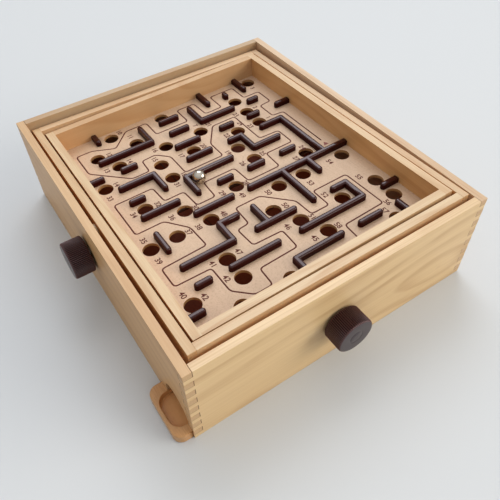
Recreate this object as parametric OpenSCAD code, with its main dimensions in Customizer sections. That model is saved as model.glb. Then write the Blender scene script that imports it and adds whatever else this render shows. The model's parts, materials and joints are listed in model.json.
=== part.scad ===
// Tilting labyrinth game. A finger-jointed wooden box carries two nested frames.
// The outer frame tilts about X in the box, and the inner frame tilts about Y in the outer one.
// The inner frame holds the maze board, where a steel ball rolls between strips and holes.
// Each knob turns a steel shaft, and a cord wound on that shaft tilts one of the frames.
// A ball that drops lands on a sloped deck and rolls out through an arch to the tray.
// Lengths are in millimetres. The box stands on Z = 0 with its front wall towards -Y, and the
// origin is in the middle of the footprint, knobs included.

/* [Board and maze] */
// Width of the maze board between the inner rails
board_w = 232; // [215:1:250]
// Depth of the maze board between the inner rails
board_d = 276; // [260:1:300]
// Thickness of the maze board
board_t = 3; // [2:0.5:3.5]
// Depth of the playing surface below the inner frame's top
board_depth = 21.5; // [18:0.5:21.5]
// Width of the rebate in the inner rails that holds the board's edge
rebate_w = 4; // [3:0.5:5]
// Distance from the board's front or back edge to the nearest row of holes
row_edge = 10.1; // [9:0.1:12]
// Diameter of the steel ball
ball_d = 12.7; // [10:0.1:13]
// How much wider a hole is than the ball
hole_extra = 1.9; // [1:0.1:3]
// Thickness of the maze's wall strips
strip_t = 5.4; // [3:0.1:5.6]
// Height of the maze's wall strips
strip_h = 6; // [5:0.5:10]
// Diameter of the brads that hold the board in its rebate
brad_d = 1.2; // [1:0.1:1.6]
// Length of those brads
brad_l = 9; // [6:0.5:12]

/* [Frames] */
// Height of the rails of both frames
rail_h = 25; // [25:0.5:26]
// Thickness of the inner frame's rails
inner_rail_t = 7.4; // [7:0.1:9]
// Thickness of the outer frame's rails
outer_rail_t = 7; // [6.5:0.1:9]
// Gap between the inner and the outer frame
frame_gap = 2.6; // [2:0.1:4]
// Gap between the outer frame and the box
box_gap = 3.3; // [2.5:0.1:5]
// How far the level outer frame lies below the box's rim
frame_drop = 2.5; // [1:0.1:4]
// How far the inner frame lies below the outer one
inner_drop = 0.6; // [0:0.1:1]
// Number of fingers in each frame corner
rail_fingers = 5; // [3:2:7]

/* [Tilt at rest] */
// Tilt of the outer frame about X, back edge down when negative
outer_rest_tilt = -1.7; // [-2.5:0.1:2.5]
// Tilt of the inner frame about Y, left edge down when negative
inner_rest_tilt = -1.1; // [-2.5:0.1:2.5]

/* [Pivots] */
// Diameter of the pivot pins
pin_d = 3; // [2:0.5:4]
// Depth of the pivot axes below the outer frame's top
pivot_drop = 11; // [9:0.5:13]
// How far a pin is driven into the piece that holds it
pin_held = 5; // [4:0.5:6]
// How far a pin reaches into the piece that turns on it
pin_reach = 5.5; // [4:0.5:6]
// Diameter of the spacers on the pivot pins
spacer_d = 11; // [8:0.5:14]

/* [Box] */
// Height of the box
box_h = 94; // [94:1:110]
// Thickness of the box's walls
wall_t = 7.2; // [6.5:0.1:9]
// Number of fingers in each box corner
box_fingers = 16; // [8:2:20]

/* [Deck] */
// Thickness of the sloped deck
deck_t = 3; // [2:0.5:4]
// Height of the deck's top in the front left corner
deck_low = 6; // [4:0.5:8]
// Rise of the deck towards the back, in degrees
deck_back = 4; // [2:0.1:4.5]
// Rise of the deck towards the right, in degrees
deck_right = 1.7; // [1:0.1:2]
// Width of the cleats under the deck
cleat_w = 8; // [6:0.5:12]
// Thickness of those cleats
cleat_t = 6; // [4:0.5:8]
// Distance from the front wall to the cleats' front ends
cleat_front = 60; // [55:1:90]

/* [Ball tray] */
// Length of the tray along the left wall
tray_l = 50; // [46:0.5:70]
// How far the tray stands out from the left wall
tray_out = 14; // [13:0.5:30]
// Thickness of the tray
tray_t = 9.5; // [8:0.5:12]
// Radius of the tray's outer corners
tray_round = 8; // [3:0.5:10]
// Distance from the box's front face to the tray
tray_front = 1.5; // [0:0.5:10]
// Width of the rim round the tray's recess
recess_rim = 3; // [2.5:0.5:5]
// Length of the recess
recess_l = 32; // [26:0.5:32]
// Radius of the recess's outer corners
recess_round = 9.5; // [3:0.5:10]
// Thickness of wood left under the recess
recess_floor = 3.5; // [2:0.5:4]
// Width of the arch in the left wall, where the ball comes out
arch_w = 34; // [33:0.5:36]
// Distance from the box's front face to the middle of the arch
arch_mid = 25.5; // [25.5:0.5:40]
// Height of the arch's straight sides above the tray
arch_rise = 5; // [0:0.5:8]

/* [Knobs and shafts] */
// Diameter of the knobs
knob_d = 33.5; // [28:0.5:40]
// Length of the knobs
knob_l = 18.6; // [14:0.1:26]
// Radius of the knobs' edges
knob_round = 1.6; // [0.5:0.1:3]
// Gap between a knob and its wall
knob_gap = 1.6; // [1.5:0.1:4]
// Depth of the shaft's socket in a knob
knob_socket = 13; // [8:0.5:13.5]
// Middle radius of the ring groove in a knob's face
ring_r = 6; // [3:0.5:10]
// Width of that groove
ring_w = 1; // [0.5:0.1:2]
// Depth of that groove
ring_deep = 0.4; // [0.2:0.1:1]
// Diameter of the shafts
shaft_d = 5; // [4:0.5:5]
// Place of the left knob's shaft behind the middle of the box
left_shaft_y = 6.5; // [-10:0.5:8]
// Depth of the left knob's shaft below the outer frame
left_shaft_drop = 13.5; // [12.5:0.5:15]
// Place of the front knob's shaft to the right of the middle of the box
front_shaft_x = -8; // [-15:0.5:8]
// Gap between the two shafts where they cross
shaft_gap = 1.5; // [1:0.5:3]
// Depth of a shaft's socket in the far wall
shaft_socket = 4.5; // [3:0.5:5]
// Diameter of the collars and washers on the shafts
collar_d = 10; // [9:0.5:14]
// Length of the collars
collar_l = 6; // [4:0.5:10]

/* [Cords] */
// Diameter of the cords
cord_d = 1; // [0.6:0.1:1.2]
// Turns of cord on each shaft
cord_turns = 3; // [2:1:5]
// Rise of one turn along the shaft
cord_pitch = 1.6; // [1.6:0.1:2.5]
// Place of the outer frame's cord to the right of the middle of the box
outer_cord_x = -40; // [-45:1:-30]
// Place of the inner frame's cord behind the middle of the box
inner_cord_y = -40; // [-60:1:-25]
// Wire diameter of the springs
spring_wire = 0.7; // [0.5:0.1:0.8]
// Outer diameter of the springs
spring_d = 4.6; // [4:0.1:6]
// Turns of wire in each spring
spring_turns = 12; // [8:1:14]
// Rise of one turn of a spring
spring_pitch = 1.3; // [1.3:0.1:1.6]
// Wire diameter of the screw eyes
eye_wire = 1.2; // [0.8:0.1:1.5]
// Middle diameter of the screw eyes' rings
eye_d = 4.4; // [4:0.1:6]
// Length of a screw eye's shank in its rail
eye_shank = 6; // [4:0.5:8]
// Length of a screw eye's neck below its rail
eye_neck = 4; // [4:0.5:6]

/* [Fits] */
// Clearance round a pin or shaft that turns, on the radius
run_clear = 0.05; // [0.02:0.01:0.1]
// Gap between pieces that move past each other
move_gap = 0.3; // [0.2:0.05:0.5]
// Gap round pieces that are set in loosely
set_gap = 0.1; // [0.05:0.05:0.3]

/* [Hidden] */

$fn = 64;
// What a cutter reaches past the face it opens
over = 1;

// Sizes of the frames and the box, from the board outwards
inner_w = board_w + 2 * inner_rail_t;
inner_d = board_d + 2 * inner_rail_t;
outer_w = inner_w + 2 * (frame_gap + outer_rail_t);
outer_d = inner_d + 2 * (frame_gap + outer_rail_t);
inside_w = outer_w + 2 * box_gap;
inside_d = outer_d + 2 * box_gap;
box_w = inside_w + 2 * wall_t;
box_d = inside_d + 2 * wall_t;

// Heights with both frames level
outer_top = box_h - frame_drop;
inner_top = outer_top - inner_drop;
pivot_z = outer_top - pivot_drop;
board_top = inner_top - board_depth;
outer_low = outer_top - rail_h;
inner_low = inner_top - rail_h;
left_shaft_z = outer_low - left_shaft_drop;
front_shaft_z = left_shaft_z - shaft_d - shaft_gap;

// The knobs stand out on the left and in front, so the box lies off the origin by half of that
knob_reach = knob_gap + knob_l;
box_shift = knob_reach / 2;

// The maze plan is drawn this many units wide, and it stretches with the board
plan_units = 232;
plan_x = board_w / plan_units;
plan_edge = plan_units / 2;
hole_d = ball_d + hole_extra;

// Places of the holes across the board in plan units, one list for each row, front to back
hole_rows = [
    [-73, -27, 84],
    [-103, -57.5, 28, 102],
    [-57.5, 17, 63, 102],
    [5],
    [-103, -78, -44.5, 28, 55.5, 102],
    [-57.5, -3.5, 77],
    [-85, 32.5],
    [-44.5, 29],
    [-103, -44.5, -8, 44, 70.5],
    [-78, -27, 13.5, 70.5],
    [-91, -48.5, 70.5],
    [-66, -8, 103]];
row_pitch = (board_d - 2 * row_edge) / (len(hole_rows) - 1);
// A strip that runs to the front or back rail ends past it, and is cut off there
line_edge = len(hole_rows) / 2 + 1;

// Straight strips across the board: row line from the middle, then both ends in plan units
cross_strips = [
    [5, -14, 4],
    [4, -14, 4], [4, 81, 90],
    [3, -plan_edge, -101], [3, -79, -66.5], [3, -20, 4], [3, 31.5, 44], [3, 65.5, 76],
    [3, 101, plan_edge],
    [2, -20, 4],
    [1, -92, -81],
    [0, -92, -58], [0, -14, -1.5], [0, 19.5, 34], [0, 56.5, 70],
    [-1, -52.5, -15.5],
    [-4, -92, -81], [-4, -60.5, -15], [-4, 100, plan_edge],
    [-5, -plan_edge, -101], [-5, 53, 74]];

// Straight strips along the board: place in plan units, then both ends as row lines
long_strips = [
    [-80.5, 5.4, line_edge], [43.5, 5, line_edge], [66.5, 5, 5.15], [90, 5, line_edge],
    [-92.5, -2, -1.1], [95, -line_edge, -5]];

// Angled strips, each a list of runs, and each run a list of corners: place in plan units, row line
angled_plans = [
    [[[-92, 4], [-36.5, 4], [-36.5, 5.15]]],
    [[[60, 4], [22, 4], [22, 5.15]]],
    [[[-92, 2], [-58, 2], [-58, 1]]],
    [[[13.5, 1], [-36.5, 1], [-36.5, 0]]],
    [[[27, 2], [40.5, 2], [40.5, 1], [69, 1]]],
    [[[65.5, 2], [89.5, 2], [89.5, -1]], [[4, -1], [plan_edge, -1]], [[40, -1], [40, -3]],
        [[69, -1], [69, -1.8]]],
    [[[-25.5, -2], [-43.5, -2], [-43.5, -3], [-92, -3]]],
    [[[-20, -3], [18.5, -3]], [[-8.5, -3], [-8.5, -2]]],
    [[[61.5, -3], [76, -3], [76, -4], [9, -4]]],
    [[[32, -5], [-15, -5], [-15, -line_edge]]]];

// The ball lies in the corner of two strips: their place in plan units and their row line
ball_corner = [-36.5, 1];
ball_x = ball_corner[0] * plan_x + strip_t / 2 + move_gap + ball_d / 2;
ball_y = ball_corner[1] * row_pitch - strip_t / 2 - move_gap - ball_d / 2;

// Sides of a box or a frame: which way the side lies, and how far it is turned
FRONT = [0, -1, 0];
RIGHT = [1, 0, 90];
BACK = [0, 1, 180];
LEFT = [-1, 0, -90];

// The cord lies on its shaft. Its ends hang from the middle of the outer rails, or from the wood
// that the rebate leaves of the inner ones.
wind_r = shaft_d / 2 + set_gap + cord_d / 2;
eye_drop = eye_neck + eye_d / 2;
outer_eye_y = outer_d / 2 - outer_rail_t / 2;
inner_eye_x = inner_w / 2 - (inner_rail_t - rebate_w) / 2;
spring_l = spring_turns * spring_pitch;
// Straight wire or cord that passes through an eye's ring
lead_l = 3;
// Rings in one turn of cord or wire, and the sides of its section
turn_rings = 12;
tube_sides = 6;

pine = "#dcc197";
pine_rail = "#e8cfa8";
beech = "#b98a58";
hardboard = "#6b4026";
ply = "#d9bd9b";
brown_plastic = "#2a1512";
steel = "#b8babd";
natural = "#e6d3b3";
cord_colour = "#3a332c";

// Places children in the box, then on the tilted outer and inner frames
module at_box() {
    translate([box_shift, box_shift, 0])
        children();
}

module on_outer() {
    at_box()
        translate([0, 0, pivot_z])
            rotate([outer_rest_tilt, 0, 0])
                translate([0, 0, -pivot_z])
                    children();
}

module on_inner() {
    on_outer()
        translate([0, 0, pivot_z])
            rotate([0, inner_rest_tilt, 0])
                translate([0, 0, -pivot_z])
                    children();
}

// The same tilts for points, in the box's own coordinates
function tilt_outer(p) =
    let (c = cos(outer_rest_tilt), s = sin(outer_rest_tilt), h = p[2] - pivot_z)
    [p[0], p[1] * c - h * s, pivot_z + p[1] * s + h * c];

function tilt_inner(p) =
    let (c = cos(inner_rest_tilt), s = sin(inner_rest_tilt), h = p[2] - pivot_z)
    tilt_outer([p[0] * c + h * s, p[1], pivot_z - p[0] * s + h * c]);

// Stands children on one side of a rectangle, with their outer face on its edge
module on_side(side, w, d) {
    translate([side[0] * w / 2, side[1] * d / 2, 0])
        rotate(side[2])
            children();
}

// A board along X with its outer face on Y = 0, cut at both ends for the mating fingers
module jointed_board(length, thick, height, fingers, first_gap) {
    step = height / fingers;
    difference() {
        translate([-length / 2, 0, 0])
            cube([length, thick, height]);
        for (end = [-1, 1], i = [first_gap : 2 : fingers - 1]) {
            above = i == 0 ? over : 0;
            below = i == fingers - 1 ? over : 0;
            translate([end * (length - thick + over) / 2, thick / 2, height - (i + 1) * step - below])
                translate([-(thick + over) / 2, -thick / 2 - over, 0])
                    cube([thick + over, thick + 2 * over, step + above + below]);
        }
    }
}

// Box

// Bore for the front knob's shaft, through the front wall and into the back wall
module front_shaft_bore() {
    translate([front_shaft_x, -box_d / 2 - over, front_shaft_z])
        rotate([-90, 0, 0])
            cylinder(d = shaft_d + 2 * run_clear, h = over + box_d - wall_t + shaft_socket);
}

// Bore for the left knob's shaft, through the left wall and into the right wall
module left_shaft_bore() {
    translate([-box_w / 2 - over, left_shaft_y, left_shaft_z])
        rotate([0, 90, 0])
            cylinder(d = shaft_d + 2 * run_clear, h = over + box_w - wall_t + shaft_socket);
}

// Pins between the box and the outer frame, wider and longer by the given amounts for a bore
module outer_pins(wider, longer) {
    for (end = [-1, 1])
        translate([end * (inside_w / 2 + pin_held), 0, pivot_z])
            rotate([0, -90 * end, 0])
                cylinder(d = pin_d + wider, h = pin_held + box_gap + pin_reach + longer);
}

module front_wall() {
    color(pine) at_box()
        difference() {
            on_side(FRONT, box_w, box_d)
                jointed_board(box_w, wall_t, box_h, box_fingers, 0);
            front_shaft_bore();
        }
}

module back_wall() {
    color(pine) at_box()
        difference() {
            on_side(BACK, box_w, box_d)
                jointed_board(box_w, wall_t, box_h, box_fingers, 0);
            front_shaft_bore();
        }
}

// Opening in the left wall: straight sides that rise past the tray, and a half-round top
module exit_arch() {
    spring_line = tray_t + arch_rise;
    translate([-box_w / 2 - over, -box_d / 2 + arch_mid, 0]) {
        translate([0, -arch_w / 2, -over])
            cube([wall_t + 2 * over, arch_w, spring_line + over]);
        translate([0, 0, spring_line])
            rotate([0, 90, 0])
                cylinder(d = arch_w, h = wall_t + 2 * over);
    }
}

module left_wall() {
    color(pine) at_box()
        difference() {
            on_side(LEFT, box_w, box_d)
                jointed_board(box_d, wall_t, box_h, box_fingers, 1);
            left_shaft_bore();
            outer_pins(0, 0);
            exit_arch();
        }
}

module right_wall() {
    color(pine) at_box()
        difference() {
            on_side(RIGHT, box_w, box_d)
                jointed_board(box_d, wall_t, box_h, box_fingers, 1);
            left_shaft_bore();
            outer_pins(0, 0);
        }
}

// A slab under the deck's top plane, which rises from the front left corner
module deck_slab(depth, thick) {
    translate([-inside_w / 2, -inside_d / 2, deck_low])
        rotate([deck_back, -deck_right, 0])
            translate([-box_w / 2, -box_d / 2, -depth - thick])
                cube([2 * box_w, 2 * box_d, thick]);
}

module sloped_deck() {
    color(hardboard) at_box()
        intersection() {
            deck_slab(0, deck_t);
            translate([-inside_w / 2 + set_gap, -inside_d / 2 + set_gap, 0])
                cube([inside_w - 2 * set_gap, inside_d - 2 * set_gap, box_h]);
        }
}

module deck_cleats() {
    color(pine) at_box()
        for (side = [-1, 1])
            intersection() {
                deck_slab(deck_t, cleat_t);
                translate([side * (inside_w - cleat_w) / 2 - cleat_w / 2, -inside_d / 2 + cleat_front, 0])
                    cube([cleat_w, inside_d - cleat_front, box_h]);
            }
}

// A plate from -out to inn along X, with its two outer corners rounded
module rounded_plate(out, inn, length, radius) {
    intersection() {
        translate([-out, -length / 2])
            square([out + inn, length]);
        union() {
            translate([radius - out, -length / 2])
                square([out + inn - radius, length]);
            translate([-out, radius - length / 2])
                square([out + inn, length - 2 * radius]);
            for (end = [-1, 1])
                translate([radius - out, end * (length / 2 - radius)])
                    circle(r = radius);
        }
    }
}

module ball_tray() {
    color(beech) at_box()
        difference() {
            union() {
                translate([-box_w / 2, -box_d / 2 + tray_front + tray_l / 2, 0])
                    linear_extrude(tray_t)
                        rounded_plate(tray_out, 0, tray_l, tray_round);
                translate([-box_w / 2, -box_d / 2 + arch_mid - arch_w / 2 + set_gap, 0])
                    cube([wall_t, arch_w - 2 * set_gap, tray_t]);
            }
            translate([-box_w / 2, -box_d / 2 + arch_mid, recess_floor])
                linear_extrude(tray_t)
                    rounded_plate(tray_out - recess_rim, wall_t + over, recess_l, recess_round);
        }
}

module outer_pivot_pins() {
    color(steel) at_box()
        outer_pins(0, 0);
}

module outer_pivot_spacers() {
    color(natural) at_box()
        for (end = [-1, 1])
            translate([end * inside_w / 2, 0, pivot_z])
                rotate([0, -90 * end, 0])
                    spacer(box_gap - move_gap);
}

module spacer(thick) {
    difference() {
        cylinder(d = spacer_d, h = thick);
        translate([0, 0, -over])
            cylinder(d = pin_d + 2 * set_gap, h = thick + 2 * over);
    }
}

// Outer frame

// Pins between the outer and the inner frame, wider and longer by the given amounts for a bore
module inner_pins(wider, longer) {
    for (end = [-1, 1])
        translate([0, end * (outer_d / 2 - outer_rail_t + pin_held), pivot_z])
            rotate([90 * end, 0, 0])
                cylinder(d = pin_d + wider, h = pin_held + frame_gap + pin_reach + longer);
}

module outer_rail(side, length, first_gap) {
    color(pine_rail) on_outer()
        difference() {
            translate([0, 0, outer_low])
                on_side(side, outer_w, outer_d)
                    jointed_board(length, outer_rail_t, rail_h, rail_fingers, first_gap);
            outer_pins(2 * run_clear, move_gap);
            inner_pins(0, 0);
            outer_eye_shanks();
        }
}

module outer_front_rail() {
    outer_rail(FRONT, outer_w, 0);
}

module outer_back_rail() {
    outer_rail(BACK, outer_w, 0);
}

module outer_left_rail() {
    outer_rail(LEFT, outer_d, 1);
}

module outer_right_rail() {
    outer_rail(RIGHT, outer_d, 1);
}

module inner_pivot_pins() {
    color(steel) on_outer()
        inner_pins(0, 0);
}

module inner_pivot_spacers() {
    color(natural) on_outer()
        for (end = [-1, 1])
            translate([0, end * (outer_d / 2 - outer_rail_t), pivot_z])
                rotate([90 * end, 0, 0])
                    spacer(frame_gap - move_gap);
}

// A screw eye that hangs from Z = 0, with its ring open along Y
module screw_eye() {
    eye_shank_up();
    translate([0, 0, -eye_drop])
        rotate([90, 0, 0])
            rotate_extrude($fn = 32)
                translate([eye_d / 2, 0])
                    circle(d = eye_wire, $fn = 24);
}

module eye_shank_up() {
    translate([0, 0, -eye_neck])
        cylinder(d = eye_wire, h = eye_shank + eye_neck, $fn = 24);
}

module outer_eye_places() {
    for (end = [-1, 1])
        translate([outer_cord_x, end * outer_eye_y, outer_low])
            children();
}

module outer_eye_shanks() {
    outer_eye_places()
        eye_shank_up();
}

module outer_cord_eyes() {
    color(steel) on_outer()
        outer_eye_places()
            screw_eye();
}

// Cords and springs

function unit(v) = v / norm(v);

function tangents(path) =
    let (last = len(path) - 1)
    [for (i = [0 : last]) unit(path[min(i + 1, last)] - path[max(i - 1, 0)])];

// A side vector made square to a tangent
function squared(v, t) = unit(v - (v * t) * t);

// A closed tube along a path, with its section carried from ring to ring without twist
module tube(path, d, first_side) {
    last = len(path) - 1;
    t = tangents(path);
    sides = [for (i = 0, v = squared(first_side, t[0]); i <= last;
        i = i + 1, v = squared(v, t[min(i, last)])) v];
    points = [for (i = [0 : last], k = [0 : tube_sides - 1])
        let (a = 360 * k / tube_sides)
        path[i] + d / 2 * (cos(a) * sides[i] + sin(a) * cross(t[i], sides[i]))];
    skin = [for (i = [0 : last - 1], k = [0 : tube_sides - 1])
        let (a = i * tube_sides + k, b = i * tube_sides + (k + 1) % tube_sides)
        each [[a, a + tube_sides, b], [b, a + tube_sides, b + tube_sides]]];
    start = [for (k = [1 : tube_sides - 2]) [0, k, k + 1]];
    end_ring = last * tube_sides;
    finish = [for (k = [1 : tube_sides - 2]) [end_ring, end_ring + k + 1, end_ring + k]];
    polyhedron(points, concat(skin, start, finish));
}

// Least gap between two stretches of a tube that lie half a turn or more apart
function self_gap(path, d) =
    let (last = len(path) - 1)
    min([for (i = [0 : last], j = [i + turn_rings / 2 : 1 : last]) norm(path[i] - path[j])]) - d;

// A cord from a start point, round its shaft and on to an end point. The turns climb along climb,
// and run is the way that the cord crosses under the shaft.
function cord_path(start, finish, axis_point, run, climb) =
    concat([start],
        [for (i = [0 : cord_turns * turn_rings])
            let (a = 360 * i / turn_rings)
            axis_point + wind_r * (sin(a) * run - cos(a) * [0, 0, 1])
                + climb * cord_pitch * i / turn_rings],
        [finish]);

// A spring from one point towards another: a straight lead, the turns, and a lead again.
// Its first and last half turns swell from the middle line.
function spring_path(from, along, side) =
    let (up = cross(along, side), r = (spring_d - spring_wire) / 2, n = spring_turns * turn_rings)
    concat([from],
        [for (i = [0 : n])
            let (a = 360 * i / turn_rings, swell = min(1, 2 * i / turn_rings, 2 * (n - i) / turn_rings))
            from + along * (lead_l + spring_l * i / n) + swell * r * (cos(a) * side + sin(a) * up)],
        [from + along * (2 * lead_l + spring_l)]);

// The outer frame's cord crosses under the left knob's shaft from the front to the back
outer_wind = [outer_cord_x, left_shaft_y, left_shaft_z];
outer_wind_end = outer_wind + [cord_turns * cord_pitch, 0, -wind_r];
outer_eye_front = tilt_outer([outer_cord_x, -outer_eye_y, outer_low - eye_drop]);
outer_eye_back = tilt_outer([outer_cord_x, outer_eye_y, outer_low - eye_drop]);
outer_pull = unit(outer_wind_end - outer_eye_back);
outer_spring_points = spring_path(outer_eye_back - lead_l / 2 * outer_pull, outer_pull, [1, 0, 0]);
outer_cord_points = cord_path(outer_eye_front, outer_eye_back
    + (spring_l + 2 * lead_l - lead_l / 2 + move_gap) * outer_pull, outer_wind, [0, 1, 0], [1, 0, 0]);

module outer_cord() {
    color(cord_colour) at_box()
        tube(outer_cord_points, cord_d, [1, 0, 0]);
}

module outer_cord_spring() {
    color(steel) at_box()
        tube(outer_spring_points, spring_wire, [1, 0, 0]);
}

// The inner frame's cord crosses under the front knob's shaft from the left to the right
inner_wind = [front_shaft_x, inner_cord_y, front_shaft_z];
inner_wind_end = inner_wind + [0, cord_turns * cord_pitch, -wind_r];
inner_eye_left = tilt_inner([-inner_eye_x, inner_cord_y, inner_low - eye_drop]);
inner_eye_right = tilt_inner([inner_eye_x, inner_cord_y, inner_low - eye_drop]);
inner_pull = unit(inner_wind_end - inner_eye_right);
inner_spring_points = spring_path(inner_eye_right - lead_l / 2 * inner_pull, inner_pull, [0, 1, 0]);
inner_cord_points = cord_path(inner_eye_left, inner_eye_right
    + (spring_l + 2 * lead_l - lead_l / 2 + move_gap) * inner_pull, inner_wind, [1, 0, 0], [0, 1, 0]);

module inner_cord() {
    color(cord_colour) at_box()
        tube(inner_cord_points, cord_d, [0, 1, 0]);
}

module inner_cord_spring() {
    color(steel) at_box()
        tube(inner_spring_points, spring_wire, [0, 1, 0]);
}

module inner_eye_places() {
    for (end = [-1, 1])
        translate([end * inner_eye_x, inner_cord_y, inner_low])
            rotate(90)
                children();
}

module inner_eye_shanks() {
    inner_eye_places()
        eye_shank_up();
}

module inner_cord_eyes() {
    color(steel) on_inner()
        inner_eye_places()
            screw_eye();
}

// Inner frame, board and maze

// Brads through the board's edge, up into the rails
module brads() {
    edge_x = (board_w + rebate_w) / 2;
    edge_y = (board_d + rebate_w) / 2;
    for (sx = [-1, 1], sy = [-1, 1]) {
        translate([sx * edge_x, sy * board_d / 4, board_top - board_t])
            cylinder(d = brad_d, h = brad_l, $fn = 24);
        translate([sx * board_w / 4, sy * edge_y, board_top - board_t])
            cylinder(d = brad_d, h = brad_l, $fn = 24);
    }
}

module inner_rail(side, length, first_gap) {
    color(pine_rail) on_inner()
        difference() {
            translate([0, 0, inner_low])
                on_side(side, inner_w, inner_d)
                    jointed_board(length, inner_rail_t, rail_h, rail_fingers, first_gap);
            board_rebate();
            inner_pins(2 * run_clear, move_gap);
            inner_eye_shanks();
            brads();
        }
}

// Room for the board's edge, open at the bottom of the rails
module board_rebate() {
    w = board_w + 2 * rebate_w;
    d = board_d + 2 * rebate_w;
    translate([-w / 2, -d / 2, inner_low - over])
        cube([w, d, board_top - inner_low + over]);
}

module inner_front_rail() {
    inner_rail(FRONT, inner_w, 0);
}

module inner_back_rail() {
    inner_rail(BACK, inner_w, 0);
}

module inner_left_rail() {
    inner_rail(LEFT, inner_d, 1);
}

module inner_right_rail() {
    inner_rail(RIGHT, inner_d, 1);
}

module maze_board() {
    w = board_w + 2 * (rebate_w - set_gap);
    d = board_d + 2 * (rebate_w - set_gap);
    middle = (len(hole_rows) - 1) / 2;
    color(ply) on_inner()
        difference() {
            translate([-w / 2, -d / 2, board_top - board_t])
                cube([w, d, board_t]);
            for (row = [0 : len(hole_rows) - 1], x = hole_rows[row])
                translate([x * plan_x, (row - middle) * row_pitch, board_top - board_t - over])
                    cylinder(d = hole_d, h = board_t + 2 * over);
            brads();
        }
}

// One leg of a strip with round ends, between two places on the maze plan
module leg(from, to) {
    start = [from[0] * plan_x, from[1] * row_pitch];
    run = [to[0] * plan_x, to[1] * row_pitch] - start;
    translate(start)
        rotate(atan2(run[1], run[0])) {
            translate([0, -strip_t / 2, 0])
                cube([norm(run), strip_t, strip_h]);
            for (end = [0, norm(run)])
                translate([end, 0, 0])
                    cylinder(d = strip_t, h = strip_h, $fn = 32);
        }
}

// Stands strips on the board, cut off at the rails
module on_board() {
    on_inner()
        intersection() {
            translate([0, 0, board_top])
                children();
            translate([-board_w / 2, -board_d / 2, 0])
                cube([board_w, board_d, box_h]);
        }
}

module straight_strips() {
    color(brown_plastic) on_board() {
        for (s = cross_strips)
            leg([s[1], s[0]], [s[2], s[0]]);
        for (s = long_strips)
            leg([s[0], s[1]], [s[0], s[2]]);
    }
}

module angled_strips() {
    color(brown_plastic) on_board()
        for (plan = angled_plans, run = plan, i = [0 : len(run) - 2])
            leg(run[i], run[i + 1]);
}

module board_brads() {
    color(steel) on_inner()
        brads();
}

module steel_ball() {
    color(steel) on_inner()
        translate([ball_x, ball_y, board_top + set_gap + ball_d / 2])
            sphere(d = ball_d);
}

// Knobs and shafts

// A knob along Z, with its wall side on Z = 0
module knob() {
    r = knob_d / 2;
    difference() {
        rotate_extrude($fn = 96) {
            square([r - knob_round, knob_l]);
            translate([0, knob_round])
                square([r, knob_l - 2 * knob_round]);
            for (z = [knob_round, knob_l - knob_round])
                translate([r - knob_round, z])
                    circle(r = knob_round, $fn = 32);
        }
        translate([0, 0, -over])
            cylinder(d = shaft_d, h = knob_socket + over);
        translate([0, 0, knob_l - ring_deep])
            rotate_extrude()
                translate([ring_r - ring_w / 2, 0])
                    square([ring_w, ring_deep + over]);
    }
}

// A ring pressed on a shaft, along Z
module shaft_ring(length) {
    difference() {
        cylinder(d = collar_d, h = length);
        translate([0, 0, -over])
            cylinder(d = shaft_d, h = length + 2 * over);
    }
}

// Stands children on the left shaft's line, pointing out of the left wall from its outer face
module on_left_shaft() {
    at_box()
        translate([-box_w / 2, left_shaft_y, left_shaft_z])
            rotate([0, -90, 0])
                children();
}

// Stands children on the front shaft's line, pointing out of the front wall from its outer face
module on_front_shaft() {
    at_box()
        translate([front_shaft_x, -box_d / 2, front_shaft_z])
            rotate([90, 0, 0])
                children();
}

// A shaft from its socket in the knob to its socket in the far wall
module shaft(span) {
    inward = span - wall_t + shaft_socket - move_gap;
    translate([0, 0, -inward])
        cylinder(d = shaft_d, h = inward + knob_gap + knob_socket);
}

module left_shaft() {
    color(steel) on_left_shaft()
        shaft(box_w);
}

module left_knob() {
    color(brown_plastic) on_left_shaft()
        translate([0, 0, knob_gap])
            knob();
}

module left_knob_washer() {
    color(steel) on_left_shaft()
        translate([0, 0, move_gap])
            shaft_ring(knob_gap - move_gap);
}

module left_shaft_collar() {
    color(steel) on_left_shaft()
        translate([0, 0, -wall_t - move_gap - collar_l])
            shaft_ring(collar_l);
}

module front_shaft() {
    color(steel) on_front_shaft()
        shaft(box_d);
}

module front_knob() {
    color(brown_plastic) on_front_shaft()
        translate([0, 0, knob_gap])
            knob();
}

module front_knob_washer() {
    color(steel) on_front_shaft()
        translate([0, 0, move_gap])
            shaft_ring(knob_gap - move_gap);
}

module front_shaft_collar() {
    color(steel) on_front_shaft()
        translate([0, 0, -wall_t - move_gap - collar_l])
            shaft_ring(collar_l);
}

front_wall();
back_wall();
left_wall();
right_wall();
sloped_deck();
deck_cleats();
ball_tray();
outer_pivot_pins();
outer_pivot_spacers();
outer_front_rail();
outer_back_rail();
outer_left_rail();
outer_right_rail();
inner_pivot_pins();
inner_pivot_spacers();
outer_cord_eyes();
outer_cord_spring();
outer_cord();
inner_front_rail();
inner_back_rail();
inner_left_rail();
inner_right_rail();
maze_board();
straight_strips();
angled_strips();
board_brads();
inner_cord_eyes();
inner_cord_spring();
inner_cord();
steel_ball();
left_shaft();
left_knob();
left_knob_washer();
left_shaft_collar();
front_shaft();
front_knob();
front_knob_washer();
front_shaft_collar();

echo(outer_cord_gap = self_gap([for (i = [1 : len(outer_cord_points) - 2]) outer_cord_points[i]], cord_d));
echo(inner_cord_gap = self_gap([for (i = [1 : len(inner_cord_points) - 2]) inner_cord_points[i]], cord_d));
echo(outer_spring_gap = self_gap(outer_spring_points, spring_wire));
echo(inner_spring_gap = self_gap(inner_spring_points, spring_wire));
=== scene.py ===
import json
import math

import bmesh
import bpy
from mathutils import Matrix, Vector


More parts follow.
